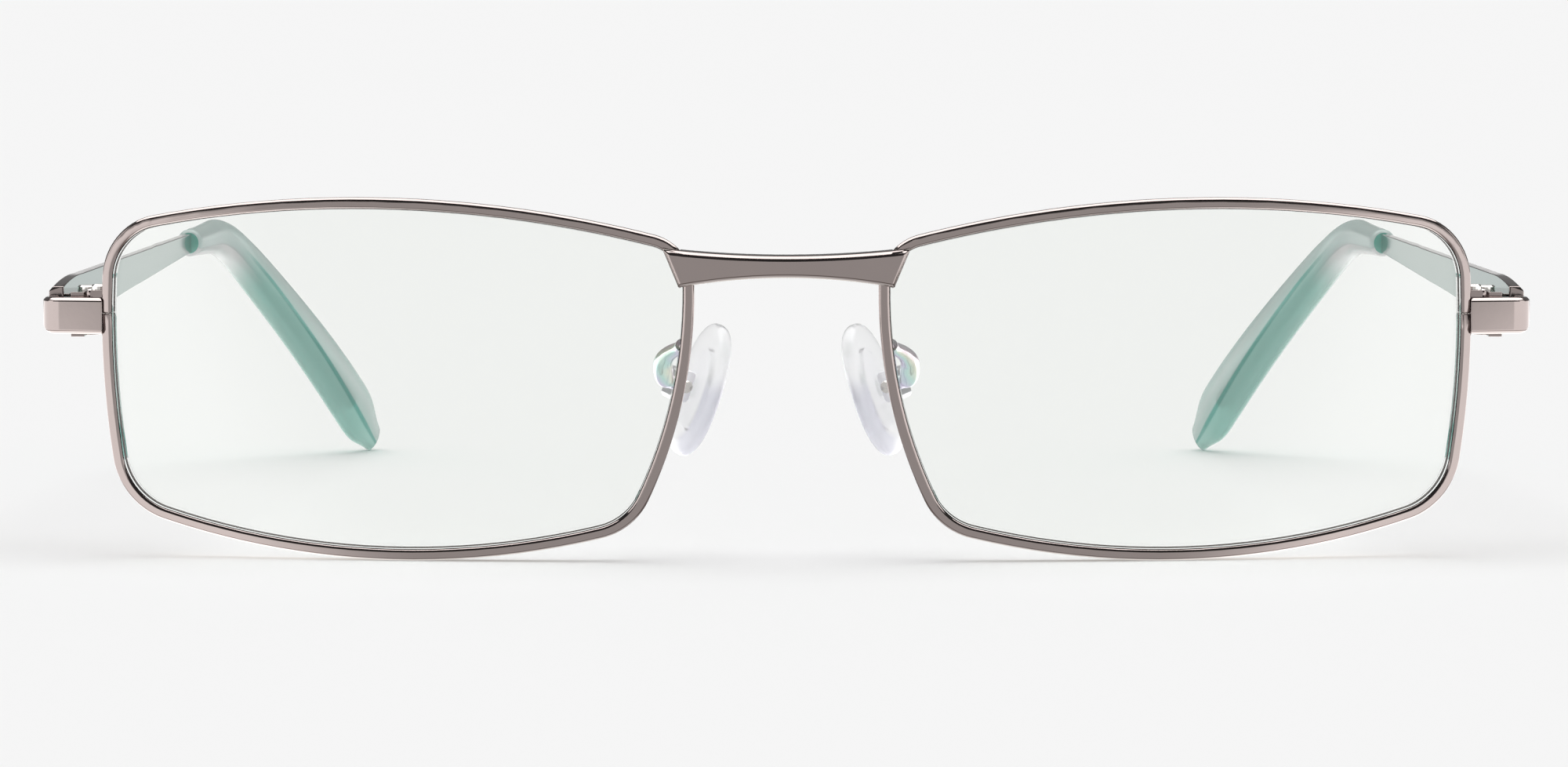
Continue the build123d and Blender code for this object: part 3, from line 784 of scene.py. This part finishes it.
def tip_spot(share):
    """The place and direction at a share of the bent line's length, in the left temple's own frame."""
    start, bend, end = (Vector(place) * MM for place in (TIP_START_MM, TIP_BEND_MM, TIP_END_MM))
    first = (bend - start).normalized()
    second = (end - bend).normalized()
    turn = first.angle(second)
    cut = TIP_BEND_RADIUS * math.tan(turn / 2)
    run = (bend - start).length - cut
    arc = TIP_BEND_RADIUS * turn
    distance = share * (run + arc + (end - bend).length - cut)
    inward = (second - first * math.cos(turn)).normalized()
    if distance < run:
        return start + first * distance, first
    angle = min((distance - run) / TIP_BEND_RADIUS, turn)
    place = (start + first * run + first * TIP_BEND_RADIUS * math.sin(angle)
             + inward * TIP_BEND_RADIUS * (1 - math.cos(angle)))
    rest = max(distance - run - arc, 0)
    return place + second * rest, (first * math.cos(angle) + inward * math.sin(angle)).normalized()


print(f"tip line from {tip_spot(0)[0].z / MM:.1f} down to {tip_spot(1)[0].z / MM:.1f} mm above the floor")

# %% Temple tip shape
TIP_HEIGHTS_MM = (2.9, 3.1, 3.45, 3.9, 4.4, 4.75, 5.1, 5.4, 5.7, 6.0, 6.25, 6.4, 6.1, 3.4)
TIP_WIDTHS_MM = (2.7, 2.65, 2.65, 2.7, 2.8, 2.85, 2.9, 2.9, 2.9, 2.9, 2.85, 2.8, 2.6, 1.5)
TIP_END_SHARE = 0.99
TIP_BOW = 0.65 * MM
TIP_BOW_START = 0.36
TIP_RINGS = 84
TIP_SIDES = 36
# The rounded mouth and end: how far each ring lies beyond the line, in mm, and its share of the size.
TIP_MOUTH = ((-0.55, 0.3), (-0.5, 0.62), (-0.38, 0.84), (-0.2, 0.96))
TIP_CLOSE = ((0.18, 0.86), (0.32, 0.62), (0.4, 0.3))


def from_temple_frame(spot):
    """A spot in the left temple's own frame, in the frame of the whole object."""
    pin = Vector(joints["left_fold"]["pos_m"])
    back = Vector(joints["left_spring_slide"]["axis"])
    out = Vector((back.y, -back.x, 0))
    return Vector((pin.x, pin.y, 0)) + out * spot.x + back * spot.y + Vector((0, 0, spot.z))


def oval(share, width, height, shift=0.0):
    """One ring of the left tip, bowed inwards with its leg, and moved along by a shift."""
    place, along = tip_spot(share)
    bowed = max(share - TIP_BOW_START, 0) / (TIP_END_SHARE - TIP_BOW_START)
    place.x -= TIP_BOW * math.sin(math.pi * min(bowed, 1))
    across = along.cross(Vector((0, 0, 1))).normalized()
    over = across.cross(along)
    return [from_temple_frame(place + along * shift + across * math.cos(angle) * width / 2
                              + over * math.sin(angle) * height / 2)
            for angle in turns(TIP_SIDES)]


def tip_rings():
    """Rings from the rounded mouth of the left tip to its rounded end."""
    heights = [height * MM for height in TIP_HEIGHTS_MM]
    widths = [width * MM for width in TIP_WIDTHS_MM]
    mouth = [oval(0, widths[0] * size, heights[0] * size, shift * MM) for shift, size in TIP_MOUTH]
    shares = [row / TIP_RINGS for row in range(TIP_RINGS + 1)]
    body = [oval(TIP_END_SHARE * share, smooth_through(widths, share), smooth_through(heights, share))
            for share in shares]
    close = [oval(TIP_END_SHARE, widths[-1] * size, heights[-1] * size, shift * MM)
             for shift, size in TIP_CLOSE]
    return mouth + body + close


# %% Temple tip finish
TIP_PLASTIC = {"IOR": 1.42, "Transmission Weight": 0.4}
TIP_CLOUD = ((0.9, 0.9, 0.9), (1, 1, 1))
TIP_POLISH = {"scale": 160, "roughness": (0.14, 0.24), "relief": 0.1}
# Painted light and shade on the leg: deep teal below, a painted dark line where light bends round the wire,
# pale above.
TIP_LEG_PAINTED_LIGHT = ((0.0, (0.40, 0.70, 0.62)), (0.1, (0.31, 0.66, 0.58)), (0.44, (0.31, 0.66, 0.58)),
                 (0.475, (0.04, 0.38, 0.31)), (0.535, (0.04, 0.38, 0.31)), (0.57, (0.52, 0.70, 0.66)),
                 (0.8, (0.66, 0.76, 0.74)), (1.0, (0.56, 0.74, 0.70)))
# Painted light at the bend: the plastic glows pale, with the painted dark line.
TIP_BEND_PAINTED_LIGHT = ((0.0, (0.97, 0.97, 0.98)), (0.26, (0.96, 0.96, 0.97)), (0.30, (0.62, 0.70, 0.70)),
                  (0.35, (0.66, 0.82, 0.80)), (1.0, (0.70, 0.85, 0.82)))
# Painted shade at the thick mouth of the tip.
TIP_MOUTH_PAINTED_SHADE = (0.04, 0.44, 0.34)
TIP_MOUTH_SHARE = 0.018
TIP_FADE_SHARES = (0.30, 0.46)
TIP_LINE_DRIFT = 0.4

teal = surface("teal_tip", TIP_PLASTIC)
add_drift(teal, tones=TIP_CLOUD, **TIP_POLISH)
tip_tree = teal.node_tree
tip_shares = place_parts(tip_tree, "UV")
tip_sine = maths(tip_tree, "SINE", maths(tip_tree, "MULTIPLY", tip_shares["Y"], math.tau))
tip_height = maths(tip_tree, "ADD", maths(tip_tree, "MULTIPLY", tip_sine, 0.5), 0.5)
past_bend = maths(tip_tree, "SUBTRACT", tip_shares["X"], TIP_FADE_SHARES[1])
tip_drift = maths(tip_tree, "MULTIPLY", maths(tip_tree, "MAXIMUM", past_bend), TIP_LINE_DRIFT)
tip_height = maths(tip_tree, "ADD", tip_height, tip_drift)
bend_painted_light = tone_ramp(tip_tree, tip_height, TIP_BEND_PAINTED_LIGHT)
leg_painted_light = tone_ramp(tip_tree, tip_height, TIP_LEG_PAINTED_LIGHT)
along_leg = spread(tip_tree, tip_shares["X"], TIP_FADE_SHARES, kind="SMOOTHSTEP")
at_mouth = maths(tip_tree, "LESS_THAN", tip_shares["X"], TIP_MOUTH_SHARE)
tip_painted_light = mix_tones(tip_tree, along_leg, bend_painted_light, leg_painted_light)
tint_colour(teal, mix_tones(tip_tree, at_mouth, tip_painted_light, TIP_MOUTH_PAINTED_SHADE))
print(teal.name, "of", len(TIP_BEND_PAINTED_LIGHT), "tones at the bend and", len(TIP_LEG_PAINTED_LIGHT), "on the leg")

# %% Temple tips
for side in SIDES:
    skin(side + "_tip_sleeve", mirrored_rings(tip_rings(), side), teal, "tip_plastic",
         side + "_temple", side + "_temple_tip")

# %% [markdown]
# ## Hinge springs
# Each coil spring lies between the plug in the temple's box and the nut on the slider's rod. When
# the temple flexes outwards, the nut comes closer to the plug. A rigid spring would then cut into
# the nut. Here the solid spring is hidden, and a plain copy of its mesh stands in its place.

# %% Hinge springs
for side in SIDES:
    solid = cad_nodes[side + "_hinge_spring"]
    coil = link_object(side + "_coil_spring", solid.data.copy())
    coil.data.transform(solid.matrix_world)
    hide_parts(side + "_hinge_spring")
    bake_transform(coil)

# %% [markdown]
# ## Polished edges
# A real edge is never knife sharp. A small bevel on each hard edge catches a thin line of the
# lamp and a thin line of the dark room, which is what makes polished metal read as metal. Rounding
# could be cut into the solids, but bevels this small are quicker and cleaner here. The packed
# meshes are split along their hard edges, so a weld comes before the bevel. The pieces with the
# fullest corners are also shaded by the size of their faces, so that light runs evenly over them.

# %% Polished edges
EDGE_ANGLE = math.radians(24)
EDGE_STEPS = 3
WELD_GAP = 0.002 * MM
EVEN_SHADING = 90
EDGE_WIDTHS_MM = {"rim": 0.08, "bridge": 0.15, "end_piece": 0.10, "temple_arm": 0.10, "hinge_box": 0.1,
                  "front_hinge": 0.05, "rim_lock_upper": 0.05, "rim_lock_lower": 0.05, "pad_cup": 0.12}
FULL_CORNERS = ("end_piece", "temple_arm", "hinge_box")


def soften(node, width, full_corners):
    """A narrow rounded bevel on the hard edges of one node."""
    weld = node.modifiers.new("weld", "WELD")
    weld.merge_threshold = WELD_GAP
    bevel = node.modifiers.new("edge", "BEVEL")
    bevel.limit_method = "ANGLE"
    bevel.angle_limit = EDGE_ANGLE
    bevel.width = width
    bevel.segments = EDGE_STEPS
    bevel.use_clamp_overlap = False
    bevel.loop_slide = False
    bevel.harden_normals = not full_corners
    if full_corners:
        even = node.modifiers.new("even_shading", "WEIGHTED_NORMAL")
        even.weight = EVEN_SHADING


for name, width in EDGE_WIDTHS_MM.items():
    for node in nodes_called(name):
        soften(cad_nodes[node], width * MM, name in FULL_CORNERS)
    print(name, "edges softened by", width, "mm")
